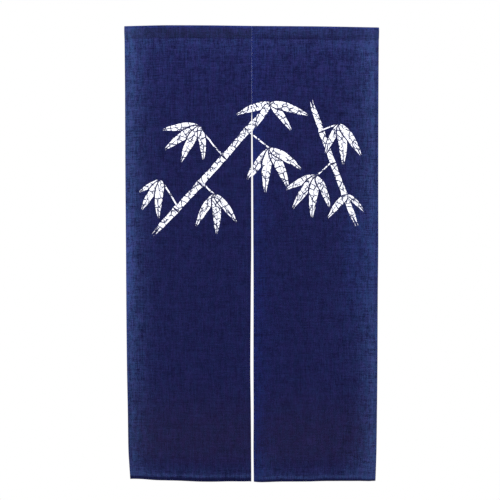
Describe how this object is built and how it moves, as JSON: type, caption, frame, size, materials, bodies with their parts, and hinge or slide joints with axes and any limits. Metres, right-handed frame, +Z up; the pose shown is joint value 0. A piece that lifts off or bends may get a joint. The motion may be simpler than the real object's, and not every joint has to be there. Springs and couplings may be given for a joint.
{
  "type": "noren curtain",
  "caption": "Split doorway curtain in indigo cloth: panels joined at the top and open below, a rod pocket along the top edge, white bamboo motif on a dark ground.",
  "frame": {"origin": "middle of the noren's top edge, over the seam between its panels, where the cloth goes over the rod", "axes": "+Z up the hanging cloth, +X across it to the right of someone facing its front, front face towards -Y"},
  "size_m": [0.8424, 0.0542, 1.5102],
  "materials": {
    "indigo_cloth": "matte slubby plain weave"
  },
  "bodies": {
    "root": {"heading_left": "indigo_cloth", "heading_right": "indigo_cloth", "panel_left": "indigo_cloth", "panel_right": "indigo_cloth"}
  },
  "joints": []
}
